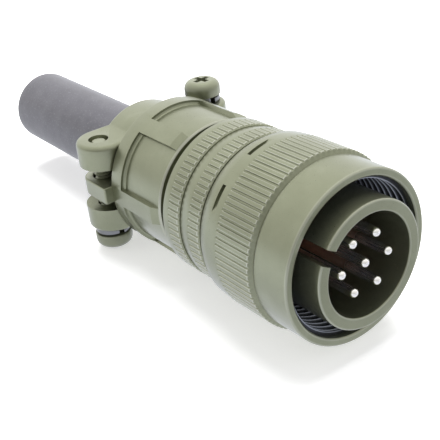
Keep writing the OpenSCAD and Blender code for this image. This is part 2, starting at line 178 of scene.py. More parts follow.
# moulded black rubber gone grey: matte, with a dusty bloom in fine specks
def mouldedRubber(name, finish):
    material, tree = newMaterial(name)
    spots = ownSpots(tree)
    speck = noiseOf(tree, spots, *finish["speck"])
    shade = shadesOf(tree, finish["shades"], noiseOf(tree, spots, *finish["mottle"]))
    dust = rangeOf(tree, speck, finish["dusty"], (0.0, finish["cover"]))
    sheen, sheenRoughness = finish["sheen"]
    closePrincipled(tree, {
        "Base Color": blendOf(tree, dust, shade, hexLinear(finish["bloom"])),
        "Roughness": finish["roughness"], "IOR": finish["ior"],
        "Sheen Weight": sheen, "Sheen Roughness": sheenRoughness,
        "Normal": bumpOf(tree, speck, *finish["bump"])})
    return material


insulatorFinish = {"shades": [(0.35, "#0e0f0f"), (0.7, "#181918")], "flow": (1.2, 3.0), "roughness": 0.55}


# moulded black thermoset: near black, faintly clouded
def blackThermoset(name, finish):
    material, tree = newMaterial(name)
    cloud = noiseOf(tree, ownSpots(tree), *finish["flow"])
    closePrincipled(tree, {
        "Base Color": shadesOf(tree, finish["shades"], cloud), "Roughness": finish["roughness"]})
    return material


# stretch is the share by which the rings' noise is drawn out round the axis, cover the share that the
# front-to-back colour ramp takes of the colour, and reach the two stations on X, in mm, between which the
# metal goes dull
plating = {"streak": (0.3, 2.0), "stretch": 0.08, "cover": 0.75}
silverFinish = {
    **plating, "shades": [(0.3, "#d3cfc5"), (0.7, "#dfdbd1")],
    # pins from the tip back: palest at the tip as a painted highlight, bluish behind it as a painted
    # reflection, then tarnished brown to copper
    "frontToBack": [(0.0, "#f4f2ee"), (0.12, "#b4b8c6"), (0.45, "#b8988a"), (1.0, "#d9977c")],
    "reach": (1.2, -12.0), "metallic": (1.0, 0.45), "roughness": (0.2, 0.365),
}
steelFinish = {
    **plating, "shades": [(0.3, "#6d6e6b"), (0.7, "#8b8c88")],
    "frontToBack": [(0.0, "#77787a"), (1.0, "#666763")],
    "reach": (-50.0, -53.0), "metallic": (1.0, 1.0), "roughness": (0.3, 0.3),
}


# plated metal, turned or drawn: bright, with faint rings along X, and a colour ramp between two stations on X
def platedMetal(name, finish):
    material, tree = newMaterial(name)
    spots = ownSpots(tree)
    along = addNode(tree, "ShaderNodeMapping", None, {
        "Vector": spots, "Scale": (1.0, finish["stretch"], finish["stretch"])})
    rings = noiseOf(tree, along.outputs["Vector"], *finish["streak"])
    station = addNode(tree, "ShaderNodeSeparateXYZ", None, {"Vector": spots}).outputs["X"]
    frontToBack = rangeOf(tree, station, [end * mm for end in finish["reach"]])
    shade = shadesOf(tree, finish["shades"], rings)
    frontToBackTone = shadesOf(tree, finish["frontToBack"], frontToBack)
    closePrincipled(tree, {
        "Base Color": blendOf(tree, finish["cover"], shade, frontToBackTone),
        "Metallic": rangeOf(tree, frontToBack, to=finish["metallic"]),
        "Roughness": rangeOf(tree, frontToBack, to=finish["roughness"])})
    return material


filmFinish = {
    "shades": [(0.3, "#232529"), (0.7, "#33353a")], "flow": (0.8, 3.0), "roughness": 0.36, "metallic": 0.8,
    "crest": "#9a9ea6", "crestHighlight": (12.24, 12.12),      # radii in mm where the painted crest highlight starts and is full
}


# dark dry lubricant film baked onto a thread about X: grey-black, with a pale painted highlight on its crests
def lubricantFilm(name, finish):
    material, tree = newMaterial(name)
    spots = ownSpots(tree)
    shade = shadesOf(tree, finish["shades"], noiseOf(tree, spots, *finish["flow"]))
    across = addNode(tree, "ShaderNodeVectorMath", {"operation": "MULTIPLY"}, {0: spots, 1: (0, 1, 1)})
    radius = addNode(tree, "ShaderNodeVectorMath", {"operation": "LENGTH"}, {0: across.outputs["Vector"]})
    crestHighlight = rangeOf(tree, radius.outputs["Value"], [end * mm for end in finish["crestHighlight"]])
    closePrincipled(tree, {
        "Base Color": blendOf(tree, crestHighlight, shade, hexLinear(finish["crest"])),
        "Metallic": finish["metallic"], "Roughness": finish["roughness"]})
    return material


oliveShell = oliveChromate("oliveChromateAlloy", oliveFinish)
oliveCast = oliveChromate("oliveChromateCasting", oliveFinish)
oliveScrew = oliveChromate("oliveChromateSteel", {**oliveFinish, "roughness": (0.25, 0.37), "metallic": 0.4})
blackRubber = mouldedRubber("mouldedRubber", rubberFinish)
blackInsulator = blackThermoset("blackThermoset", insulatorFinish)
silverContact = platedMetal("silverPlate", silverFinish)
springSteel = platedMetal("platedSpringSteel", steelFinish)
threadFilm = lubricantFilm("lubricantFilm", filmFinish)
print("materials made")


# ways of making, all with sizes in mm


def shift(x, y, z):
    return Matrix.Translation(Vector((x, y, z)) * mm)


def about(axis, degrees):
    return Matrix.Rotation(math.radians(degrees), 4, axis)


def move(bm, matrix):
    bmesh.ops.transform(bm, matrix=matrix, verts=bm.verts[:])


# turns faces outward: the flat ends of a wound ridge give no clear outside, so the volume decides
def faceOutward(bm):
    bmesh.ops.recalc_face_normals(bm, faces=bm.faces[:])
    if bm.calc_volume(signed=True) < 0:
        bmesh.ops.reverse_faces(bm, faces=bm.faces[:])


# turns a loop of [along, radius] points once round the X axis
def turning(profile, steps, merge=0.0001):
    bm = bmesh.new()
    loop = [bm.verts.new((x * mm, r * mm, 0)) for x, r in profile]
    edges = [bm.edges.new(pair) for pair in zip(loop, loop[1:] + loop[:1])]
    bmesh.ops.spin(bm, geom=loop + edges, cent=(0, 0, 0), axis=(1, 0, 0), dvec=(0, 0, 0),
                   angle=math.tau, steps=steps, use_merge=True)
    bmesh.ops.remove_doubles(bm, verts=bm.verts[:], dist=merge * mm)
    bmesh.ops.dissolve_degenerate(bm, edges=bm.edges[:], dist=merge * mm)
    faceOutward(bm)
    return bm


# winds a ridge of [along, radius] points along a right-hand helix about X.
# it runs forward, or backward where the number of turns is negative
def windRidge(section, pitch, turns, steps):
    bm = bmesh.new()
    loop = [bm.verts.new((x * mm, r * mm, 0)) for x, r in section]
    step = math.copysign(pitch / steps * mm, turns)
    bmesh.ops.spin(bm, geom=[bm.faces.new(loop)], cent=(0, 0, 0), axis=(1, 0, 0), dvec=(step, 0, 0),
                   angle=math.tau * turns, steps=int(steps * abs(turns)))
    faceOutward(bm)
    return bm


# one ring of a grooved turning: its place and radius, how far a groove drops it and how strongly it is marked
# as wear and as a painted highlight
def row(x, r, drop=0.0, rub=0.0):
    return x, r, drop, rub


# turns a loop of rows whose radius drops in each groove round the axis. one pitch is drawn as columns of
# [share of the pitch, share of the drop, share marked as wear and painted highlight] and then repeated
def groovedTurning(profile, count, columns, shallow=0.1, merge=0.004):
    bm = bmesh.new()
    # each vertex keeps its plain radius, its drop and its ring's mark of wear and painted highlight
    plain, drop, ring, rub = [bm.verts.layers.float.new(name) for name in ("plain", "drop", "ring", "rub")]
    loop = []
    for x, r, dropped, wornAndHighlit in profile:
        vert = bm.verts.new((x * mm, r * mm, 0))
        vert[plain], vert[drop], vert[ring] = r * mm, dropped * mm, wornAndHighlit
        loop.append(vert)
    edges = [bm.edges.new(pair) for pair in zip(loop, loop[1:] + loop[:1])]
    pitch = math.tau / count
    for number, (share, depth, wornAndHighlit) in enumerate(columns):
        if number:
            grown = bmesh.ops.extrude_edge_only(bm, edges=edges)["geom"]
            loop = [g for g in grown if isinstance(g, bmesh.types.BMVert)]
            edges = [g for g in grown if isinstance(g, bmesh.types.BMEdge)]
        for vert in loop:
            reach = vert[plain] - depth * vert[drop]
            vert.co.y = reach * math.cos(share * pitch)
            vert.co.z = reach * math.sin(share * pitch)
            grooved = vert[drop] > shallow * mm
            # a ring's mark of wear and painted highlight fades in the grooves, where the crest edges take
            # their own
            vert[rub] = max(vert[ring] * (1 - depth * grooved), wornAndHighlit * grooved)
    bmesh.ops.spin(bm, geom=bm.verts[:] + bm.edges[:] + bm.faces[:], cent=(0, 0, 0), axis=(1, 0, 0),
                   dvec=(0, 0, 0), angle=pitch * (count - 1), steps=count - 1, use_duplicate=True)
    bmesh.ops.remove_doubles(bm, verts=bm.verts[:], dist=merge * mm)
    faceOutward(bm)
    return bm


# columns of half a pitch, from the middle of a crest to the middle of a groove, made whole
def bothSides(half):
    return [(-share, depth, wornAndHighlit) for share, depth, wornAndHighlit in reversed(half[1:])] + half


def roundEdges(bm, edges, radius, segments):
    bmesh.ops.bevel(bm, geom=edges, offset=radius * mm, offset_type="OFFSET", affect="EDGES",
                    segments=segments, profile=0.5, material=-1)


# rounds the ring edges that lie at the given [along, radius] spots
def roundRings(bm, spots, radius, segments, near=0.01):
    def at(vert, spot):
        along, across = vert.co.x / mm, math.hypot(vert.co.y, vert.co.z) / mm
        return abs(along - spot[0]) < near and abs(across - spot[1]) < near
    rings = [e for e in bm.edges if any(all(at(v, spot) for v in e.verts) for spot in spots)]
    roundEdges(bm, rings, radius, segments)


def asObject(name, bm):
    mesh = bpy.data.meshes.new(name)
    bm.to_mesh(mesh)
    bm.free()
    piece = bpy.data.objects.new(name, mesh)
    scene.collection.objects.link(piece)
    return piece


# adds a form to a piece as it is, after the cuts, which need one clean solid
def attach(piece, bm):
    bm.from_mesh(piece.data)
    bm.to_mesh(piece.data)
    bm.free()


# live modifier made final, so that later cuts work on the real mesh
def settle(piece, modifier):
    with bpy.context.temp_override(object=piece, active_object=piece, selected_objects=[piece]):
        bpy.ops.object.modifier_apply(modifier=modifier.name)


def carve(piece, tool, operation="DIFFERENCE"):
    cut = piece.modifiers.new("carve", "BOOLEAN")
    cut.operation = operation
    cut.solver = "EXACT"
    cut.object = tool
    settle(piece, cut)
    bpy.data.objects.remove(tool)


# bevels the edges sharper than an angle
def softenEdges(piece, width, segments, angle):
    soft = piece.modifiers.new("edges", "BEVEL")
    soft.width = width * mm
    soft.segments = segments
    soft.limit_method = "ANGLE"
    soft.angle_limit = math.radians(angle)
    soft.harden_normals = False
    settle(piece, soft)


def block(size):
    bm = bmesh.new()
    bmesh.ops.create_cube(bm, size=1.0)
    bmesh.ops.scale(bm, vec=Vector(size) * mm, verts=bm.verts[:])
    return bm


def blockTool(size, matrix):
    bm = block(size)
    move(bm, matrix)
    return asObject("tool", bm)


def rodTool(radius, length, matrix, segments):
    bm = bmesh.new()
    bmesh.ops.create_cone(bm, cap_ends=True, segments=segments, radius1=radius * mm, radius2=radius * mm,
                          depth=length * mm)
    move(bm, matrix)
    return asObject("tool", bm)


# smooth skin with crisp creases, material, and its place in the frame
def place(piece, body, material, nodes=(), crease=38):
    piece.data.shade_smooth()
    piece.data.set_sharp_from_angle(angle=math.radians(crease))
    piece.data.materials.clear()
    piece.data.materials.append(material)
    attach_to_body(piece, body)
    if nodes:
        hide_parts(*nodes)


# features that the turned pieces share


# front end of a tube: marked along the edges of its end face and of its chamfer as wear and as a painted
# highlight, fading away from them
rim = {"rub": 0.4, "faceFade": 0.2, "sideFade": 0.25}


def rimRows(front, inside, outside, chamfer):
    inner, outer = inside + chamfer, outside - chamfer
    return [row(front, inner, rub=rim["rub"]), row(front, inner + rim["faceFade"]),
            row(front, outer - rim["faceFade"]), row(front, outer, rub=rim["rub"]),
            row(front - chamfer, outside, rub=rim["rub"]),
            row(front - chamfer - rim["sideFade"], outside)]


# square groove turned from one station to another
def grooveRows(first, last, face, bottom):
    return [row(first, face), row(first, bottom), row(last, bottom), row(last, face)]


# one tooth of a straight knurl
tooth = {
    "fade": 0.08,                    # share of the pitch over which the wear and painted highlight of the crest's edge fade
    "edge": (0.06, 1.0),             # depth, and wear with painted highlight, at the crest's edge
    "shoulder": (0.25, 0.3, 0.3),    # share of the flank, depth, and wear with painted highlight, below that edge
    "foot": (0.2, 0.84),             # share of the flank and depth above the groove's floor
    "floor": 0.97,                   # depth where the floor begins
}

# front edge of a knurl, in mm, and the shares of its run-out that get a row
knurlEnds = {"nose": 0.1, "fade": 0.15, "shares": (0.0, 0.35, 0.65, 0.86, 1.0)}


# columns of one tooth: half a groove, a flank, the crest, and the same back
def toothColumns(k):
    top, low = k["crestShare"] / 2, 0.5 - k["floorShare"] / 2
    flank = low - top
    start, startDepth, startWearAndHighlight = tooth["shoulder"]
    end, endDepth = tooth["foot"]
    return bothSides([(0.0, 0.0, 0.0), (top - tooth["fade"], 0.0, 0.0), (top, *tooth["edge"]),
                      (top + start * flank, startDepth, startWearAndHighlight), (low - end * flank, endDepth, 0.0),
                      (low, tooth["floor"], 0.0), (0.5, 1.0, 0.0)])


# rows of a knurl from the foot of the slope at its front to the end of its grooves, which run out in an arc
def knurlRows(foot, front, end, k):
    crest, groove, nose = k["crest"], k["groove"], knurlEnds["nose"]
    floorFront = front + (foot[0] - front) * groove / (crest - foot[1])
    # the tooth tips at the knurl's front get the full mark: wear, and a painted highlight
    rows = [row(*foot), row(floorFront, crest - groove), row(front + nose, crest - nose, groove - nose),
            row(front, crest, groove, 1.0), row(front - knurlEnds["fade"], crest, groove)]
    for share in knurlEnds["shares"]:
        rows.append(row(end + k["runOut"] * (1 - share), crest, groove * math.sqrt(1 - share * share)))
    return rows


# coupling nut


nut = {
    "teeth": 84, "crest": 14.7, "groove": 0.22, "runOut": 0.7, "crestShare": 0.56, "floorShare": 0.22,
    "knurlFront": -7.75, "knurlBack": -15.3, "plainGap": 0.4,
    "band": 14.05, "bandFade": 0.3, "relief": 0.15, "mouth": 12.7, "mouthChamfer": 0.2,
    "rear": 14.45, "slant": -18.9, "back": -20.85, "backEdge": 13.35, "backFade": (0.25, 0.14),
    "hubBore": 12.55, "hubStep": -15.9, "wire": -17.1, "wireGroove": (13.0, 0.5),
    "slotFloor": 13.75, "slotWidth": 0.8, "slotStrip": 0.6, "slotRise": 2.0, "slotAngle": 123.0,
    "slotBridge": 23.5, "rimRound": (0.06, 2), "edgeRound": (0.2, 3),
}


def makeNut(n):
    band, chamfer = n["band"], n["mouthChamfer"]
    bandBack = n["knurlFront"] + n["crest"] - band
    low = band - n["relief"]
    profile = rimRows(0, n["mouth"], band, chamfer)
    # the band's back edge and the nut's back edge below are fully marked: wear, and a painted highlight line
    profile += [row(bandBack + n["bandFade"], band), row(bandBack, band, rub=1.0), row(bandBack, low)]
    profile += knurlRows((bandBack - n["relief"], low), n["knurlFront"], n["knurlBack"], n)
    # the rear band tapers to its slanted end, with a strip of its own for the slots
    start = n["knurlBack"] - n["plainGap"]
    strip = n["slotStrip"] * n["slotWidth"]
    for station in (start, n["wire"] + strip, n["wire"] - strip, n["slant"]):
        share = (station - start) / (n["slant"] - start)
        profile.append(row(station, n["crest"] + (n["rear"] - n["crest"]) * share))
    fadeAlong, fadeUp = n["backFade"]
    profile += [row(n["back"] + fadeAlong, n["backEdge"] + fadeUp), row(n["back"], n["backEdge"], rub=1.0),
                row(n["back"], n["hubBore"])]
    grooveR, halfWire = n["wireGroove"]
    profile += grooveRows(n["wire"] - halfWire, n["wire"] + halfWire, n["hubBore"], grooveR)
    profile += [row(n["hubStep"], n["hubBore"]), row(n["hubStep"], n["mouth"]), row(-chamfer, n["mouth"])]
    bm = groovedTurning(profile, n["teeth"], toothColumns(n))
    roundRings(bm, [(0, n["mouth"] + chamfer), (0, band - chamfer), (-chamfer, band)], *n["rimRound"])
    roundRings(bm, [(bandBack, band), (n["back"], n["backEdge"])], *n["edgeRound"])
    piece = asObject("couplingNut", bm)
    # the two slots where the retaining wire goes in, each rising away from the bridge between them
    reach = n["crest"]
    for side in (1, -1):
        turn = about("X", n["slotAngle"] + side * n["slotBridge"] / 2) @ shift(n["wire"], n["slotFloor"], 0)
        rise = about("X", -side * n["slotRise"]) @ shift(0, reach / 2, side * reach / 2)
        carve(piece, blockTool((n["slotWidth"], reach, reach), turn @ rise))
    place(piece, "coupling_nut", oliveShell, ["coupling_nut"])


# foot is half the width of the ridge's root as a share of the pitch, skin the film's thickness at the root
thread = {
    "pitch": 1.27, "root": 12.74, "crest": 12.08, "flat": 0.11, "foot": 0.36, "lead": -1.2,
    "leadLength": 0.35, "runIn": 0.3, "skin": 0.06, "end": -14.0, "turns": 9.5, "steps": 96,
    "sleeveSteps": 192,
}


# inside thread of the nut: the shoulder where it starts, then one ridge wound along a helix
def makeThread(t):
    root, crest, flat = t["root"], t["crest"], t["flat"]
    start = t["lead"] - t["leadLength"]
    bottom = root - t["skin"]
    sleeve = [(t["lead"], root), (t["lead"], crest), (start, crest), (start - t["runIn"], bottom),
              (t["end"], bottom), (t["end"], root)]
    piece = asObject("nutThread", turning(sleeve, t["sleeveSteps"]))
    half = t["foot"] * t["pitch"]
    section = [(start - half, root), (start - flat, crest), (start + flat, crest), (start + half, root)]
    attach(piece, windRidge(section, t["pitch"], -t["turns"], t["steps"]))
    place(piece, "coupling_nut", threadFilm)


makeNut(nut)
makeThread(thread)
print("coupling nut made")


# shell and end bell


# knurled ring that both have, the same size on each
grip = {
    "knurl": 2.85, "teeth": 75, "crest": 13.65, "groove": 0.22, "edge": 0.3, "runOut": 0.7, "plainGap": 0.3,
    "crestShare": 0.58, "floorShare": 0.2, "edgeRound": (0.2, 3),
}


def gripRows(front, g):
    end = front - g["knurl"]
    return knurlRows((front, g["crest"] - g["edge"]), front - g["edge"], end, g) + [
        row(end - g["plainGap"], g["crest"])]


shell = {
    **grip, "front": 2.6, "barrel": 10.2, "bore": 8.3, "chamfer": 0.15, "hubFront": -16.0, "hub": 12.5,
    "wire": -17.1, "wireGroove": (12.0, 0.5), "gripFront": -21.0, "gripBack": -26.4, "low": 13.3,
    "thread": 11.1, "back": -29.4, "seat": -18.0, "seatR": 9.4, "rimRound": (0.05, 2),
    "keyAngle": 150.0, "keyWidth": 2.4, "keyBack": -15.0, "keyOver": 1.0,
}


def makeShell(s):
    front, bore, barrel, chamfer = s["front"], s["bore"], s["barrel"], s["chamfer"]
    grooveR, halfWire = s["wireGroove"]
    profile = rimRows(front, bore, barrel, chamfer)
    profile += [row(s["hubFront"], barrel), row(s["hubFront"], s["hub"])]
    profile += grooveRows(s["wire"] + halfWire, s["wire"] - halfWire, s["hub"], grooveR)
    profile += [row(s["gripFront"], s["hub"])] + gripRows(s["gripFront"], s)
    profile += [row(s["gripBack"], s["low"]), row(s["gripBack"], s["thread"]), row(s["back"], s["thread"]),
                row(s["back"], s["seatR"]), row(s["seat"], s["seatR"]), row(s["seat"], bore),
                row(front - chamfer, bore)]
    bm = groovedTurning(profile, s["teeth"], toothColumns(s))
    roundRings(bm, [(front, bore + chamfer), (front, barrel - chamfer), (front - chamfer, barrel),
                    (front - chamfer, bore)], *s["rimRound"])
    roundRings(bm, [(s["gripBack"], s["low"])], *s["edgeRound"])
    piece = asObject("plugShell", bm)
    # keyway through the barrel's wall, open at the front
    length = front + s["keyOver"] - s["keyBack"]
    wall = barrel - bore
    middle = shift(s["keyBack"] + length / 2, bore + wall / 2, 0)
    carve(piece, blockTool((length, 3 * wall, s["keyWidth"]), about("X", s["keyAngle"]) @ middle))
    place(piece, "plug", oliveShell, ["plug_shell"])


bell = {
    **grip, "front": -26.4, "back": -30.8, "thread": 11.1, "neckBack": -40.4, "bore": 9.2,
    "threadBore": 11.15, "threadEnd": -29.5,
}


def makeBell(b):
    profile = [row(b["front"], b["threadBore"])] + gripRows(b["front"], b)
    profile += [row(b["back"], b["crest"]), row(b["back"], b["thread"]), row(b["neckBack"], b["thread"]),
                row(b["neckBack"], b["bore"]), row(b["threadEnd"], b["bore"]),
                row(b["threadEnd"], b["threadBore"])]
    bm = groovedTurning(profile, b["teeth"], toothColumns(b))
    roundRings(bm, [(b["back"], b["crest"])], *b["edgeRound"])
    place(asObject("endBell", bm), "plug", oliveShell, ["end_bell"])


makeShell(shell)
makeBell(bell)
print("shell and end bell made")


# clamp body. ribShare, wallShare and panelStep are shares of the pitch from rib to rib


clamp = {
    "ribs": 6, "ribShare": 0.1133, "wallShare": 0.007, "panelStep": 0.05,
    "front": -33.0, "frontEdge": 0.25, "rimFade": 0.2, "rimWearAndHighlight": 0.6, "threadBore": 11.15,
    "panel": 12.75, "rib": 13.55, "ribRise": 0.15, "ribSlope": 1.65,
    "flange": -43.8, "fillet": 0.4, "filletMiddle": 0.3, "panelEnd": 0.03,
    "back": -47.2, "backRound": (0.45, 4), "seat": -43.4, "bushingBore": 7.35,
    "soften": (0.09, 2, 35), "crease": 14,
    "lugInner": 7.5, "lugOuter": 15.2, "lugRear": -55.8, "lugRoot": -46.6, "lugThick": 3.1,
    "lugRound": (3.4, 10), "lugSoften": (0.25, 3, 30), "screw": (-52.3, 11.7), "hole": 1.95, "holeSteps": 48,
}


# columns of one rib and of half the panel on each side of it
def ribColumns(c):
    edge, foot = c["ribShare"], c["ribShare"] + c["wallShare"]
    width = 0.5 - foot
    steps = int(width / c["panelStep"]) + 1
    panel = [(foot + width * i / steps, 1.0, 0.0) for i in range(steps + 1)]
    return bothSides([(0.0, 0.0, 0.0), (edge / 2, 0.0, 0.0), (edge, 0.0, 0.0)] + panel)


def makeLug(c, side, near=0.001):
    bm = block((c["lugRoot"] - c["lugRear"], c["lugOuter"] - c["lugInner"], c["lugThick"]))
    move(bm, shift((c["lugRoot"] + c["lugRear"]) / 2, (c["lugOuter"] + c["lugInner"]) / 2, 0))
    corner = [e for e in bm.edges if all(abs(v.co.x / mm - c["lugRear"]) < near
                                         and abs(v.co.y / mm - c["lugOuter"]) < near for v in e.verts)]
    roundEdges(bm, corner, *c["lugRound"])
    move(bm, about("X", 0 if side > 0 else 180))
    lug = asObject("lug", bm)
    along, across = c["screw"]
    carve(lug, rodTool(c["hole"], 3 * c["lugThick"], shift(along, side * across, 0), c["holeSteps"]))
    softenEdges(lug, *c["lugSoften"])
    return lug


def makeClamp(c):
    front, panel, rib, flange, edge = c["front"], c["panel"], c["rib"], c["flange"], c["frontEdge"]
    depth = rib - panel
    rounded = c["fillet"] * c["filletMiddle"]
    # the front rim's edge is marked lighter: wear, and a painted highlight
    profile = [row(front, c["threadBore"]), row(front, panel - edge - c["rimFade"]),
               row(front, panel - edge, rub=c["rimWearAndHighlight"]), row(front - edge, panel, rub=c["rimWearAndHighlight"]),
               row(front - edge - c["ribRise"], panel + c["ribRise"], c["ribRise"]),
               row(front - c["ribSlope"], rib, depth), row(flange + c["fillet"], rib, depth),
               row(flange + rounded, rib, depth - rounded), row(flange, rib, depth - c["fillet"]),
               row(flange - c["panelEnd"], rib), row(c["back"], rib), row(c["back"], c["bushingBore"]),
               row(c["seat"], c["bushingBore"]), row(c["seat"], c["threadBore"])]
    bm = groovedTurning(profile, c["ribs"], ribColumns(c))
    roundRings(bm, [(c["back"], rib)], *c["backRound"])
    piece = asObject("clampBody", bm)
    softenEdges(piece, *c["soften"])
    for side in (1, -1):
        carve(piece, makeLug(c, side), "UNION")
    place(piece, "plug", oliveShell, ["clamp_body"], c["crease"])


makeClamp(clamp)
print("clamp body made")


# bushing


bushing = {
    "front": -40.5, "seat": -43.4, "back": -97.0, "outside": 7.3, "bore": 5.55, "flange": 11.05,
    "outerRound": (0.55, 5), "innerRound": (0.3, 3), "steps": 128, "rings": 26,
}


def makeBushing(b):
    ringLength = (b["back"] - b["seat"]) / b["rings"]
    profile = [(b["front"], b["bore"]), (b["front"], b["flange"]), (b["seat"], b["flange"])]
    profile += [(b["seat"] + ringLength * i, b["outside"]) for i in range(b["rings"])]
    profile += [(b["back"], b["outside"]), (b["back"], b["bore"])]
    bm = turning(profile, b["steps"])
    roundRings(bm, [(b["back"], b["outside"])], *b["outerRound"])
    roundRings(bm, [(b["back"], b["bore"])], *b["innerRound"])
    place(asObject("cableBushing", bm), "plug", blackRubber, ["cable_bushing"])


makeBushing(bushing)
print("bushing made")


# saddles


saddle = {
    "x": -52.3, "width": 9.6, "arch": 10.8, "bore": 7.35, "screwY": 11.7, "earY": 10.9, "low": 3.9,
    "high": 8.4, "clearHole": 1.95, "threadHole": 1.8, "holeReach": 40, "earRound": (0.8, 5),
    "archRound": (0.8, 5, 60),
    "soften": (0.15, 2, 50), "crease": 40,
    "earSteps": 72, "archSteps": 128, "boreSteps": 96, "holeSteps": 48,
}


def makeSaddle(name, turn, body, node, s, near=0.01):
    # the two ears and the bar between them: a disc stretched along Y
    bm = bmesh.new()
    bmesh.ops.create_circle(bm, cap_ends=True, segments=s["earSteps"], radius=s["width"] / 2 * mm)
    for vert in bm.verts:
        if abs(vert.co.y) > near * mm:
            vert.co.y += math.copysign(s["earY"] * mm, vert.co.y)
    thick = bmesh.ops.extrude_face_region(bm, geom=bm.faces[:])["geom"]
    bmesh.ops.translate(bm, vec=(0, 0, (s["high"] - s["low"]) * mm),
                        verts=[g for g in thick if isinstance(g, bmesh.types.BMVert)])
    move(bm, shift(s["x"], 0, s["low"]))
    faceOutward(bm)
    upper = [e for e in bm.edges if all(v.co.z > (s["high"] - near) * mm for v in e.verts)]
    roundEdges(bm, upper, *s["earRound"])
    piece = asObject(name, bm)
    # the arch over the bushing
    lying = shift(s["x"], 0, 0) @ about("Y", 90)
    arch = rodTool(s["arch"], s["width"], lying, s["archSteps"])
    softenEdges(arch, *s["archRound"])
    below = 2 * s["arch"]
    carve(arch, blockTool((3 * s["width"], 3 * s["arch"], below), shift(s["x"], 0, s["low"] - below / 2)))
    carve(piece, arch, "UNION")
    carve(piece, rodTool(s["bore"], 3 * s["width"], lying, s["boreSteps"]))
    # one screw passes through, the other threads in
    for radius, y in ((s["clearHole"], s["screwY"]), (s["threadHole"], -s["screwY"])):
        carve(piece, rodTool(radius, s["holeReach"], shift(s["x"], y, 0), s["holeSteps"]))
    softenEdges(piece, *s["soften"])
    piece.data.transform(about("X", turn))
    place(piece, body, oliveCast, [node], s["crease"])


makeSaddle("upperSaddle", 0, "upper_clamp", "upper_saddle", saddle)
makeSaddle("lowerSaddle", 180, "lower_clamp", "lower_saddle", saddle)
print("saddles made")


# screws and washers


screw = {
    "place": (-52.3, 11.7), "steps": 64, "head": 3.4, "headLow": 9.8, "headHigh": 12.6, "headRound": (1.5, 7),
    "headEdge": (0.15, 2), "shank": 1.42, "plain": 8.0, "end": -8.05, "point": (0.35, 0.3),
    "threadCrest": 1.75, "threadFlat": 0.06, "threadFoot": 0.45, "threadSink": 0.02, "threadStart": 0.5,
    "pitch": 0.794, "threadSteps": 40,
    "recessWidth": 1.2, "recessLength": 4.4, "recessDepth": 1.6, "recessFloor": (0.45, 0.75), "recessTurn": 7,
    "crease": 40,
}


def makeScrew(name, turn, body, node, s):
    shank, crest, head, end = s["shank"], s["threadCrest"], s["head"], s["end"]
    pointLength, pointDrop = s["point"]
    bm = turning([(end, 0), (end, shank - pointDrop), (end + pointLength, shank), (s["plain"], shank),
                  (s["plain"], crest), (s["headLow"], crest), (s["headLow"], head), (s["headHigh"], head),
                  (s["headHigh"], 0)], s["steps"])
    roundRings(bm, [(s["headHigh"], head)], *s["headRound"])
    roundRings(bm, [(s["headLow"], head)], *s["headEdge"])
    upright = shift(*s["place"], 0) @ about("Y", -90)
    move(bm, upright)
    piece = asObject(name, bm)
    # cross recess, narrower at its floor
    for angle in (s["recessTurn"], s["recessTurn"] + 90):
        bm = block((s["recessLength"], s["recessWidth"], 2 * s["recessDepth"]))
        bmesh.ops.scale(bm, vec=(*s["recessFloor"], 1), verts=[v for v in bm.verts if v.co.z < 0])
        move(bm, shift(*s["place"], s["headHigh"]) @ about("Z", angle))
        carve(piece, asObject("tool", bm))
    # thread along the shank
    start, root = end + s["threadStart"], shank - s["threadSink"]
    half, flat = s["threadFoot"] * s["pitch"], s["threadFlat"]
    section = [(start - half, root), (start - flat, crest), (start + flat, crest), (start + half, root)]
    bm = windRidge(section, s["pitch"], (s["plain"] - start) / s["pitch"], s["threadSteps"])
    move(bm, upright)
    attach(piece, bm)
    piece.data.transform(about("X", turn))
    place(piece, body, oliveScrew, [node], s["crease"])


washer = {
    "place": (-52.3, 11.7), "inside": 1.85, "outside": 3.15, "low": 8.4, "high": 9.8, "rise": 0.3,
    "split": 18.0, "steps": 72, "soften": (0.12, 2, 40), "crease": 40,
}


def makeWasher(name, turn, body, node, w):
    bm = bmesh.new()
    low, high = w["low"], w["high"] - w["rise"]
    section = ((w["inside"], low), (w["outside"], low), (w["outside"], high), (w["inside"], high))
    loop = [bm.verts.new(Vector((r, 0, z)) * mm) for r, z in section]
    move(bm, about("Z", w["split"] / 2))
    bmesh.ops.spin(bm, geom=[bm.faces.new(loop)], cent=(0, 0, 0), axis=(0, 0, 1),
                   dvec=(0, 0, w["rise"] / w["steps"] * mm), angle=math.radians(360 - w["split"]),
                   steps=w["steps"])
    faceOutward(bm)
    move(bm, shift(*w["place"], 0))
    piece = asObject(name, bm)
    softenEdges(piece, *w["soften"])
    piece.data.transform(about("X", turn))
    place(piece, body, springSteel, [node], w["crease"])


makeScrew("rightScrew", 0, "right_screw", "right_screw", screw)
makeScrew("leftScrew", 180, "left_screw", "left_screw", screw)
makeWasher("rightLockWasher", 0, "upper_clamp", "right_lock_washer", washer)
makeWasher("leftLockWasher", 180, "lower_clamp", "left_lock_washer", washer)
print("screws and washers made")


# contacts and insulator


contact = {
    "tip": 2.0, "pin": 0.795, "noseStep": 9, "root": 1.045, "face": -15.5, "collarFront": -18.6,
    "collar": 1.25, "split": -20.6, "cup": 1.15, "cupBack": -31.5, "cupBore": 0.8, "cupFloor": -27.5,
    "cupOpen": 2.5, "cupOver": 1.0, "ring": 4.765, "steps": 40,
}


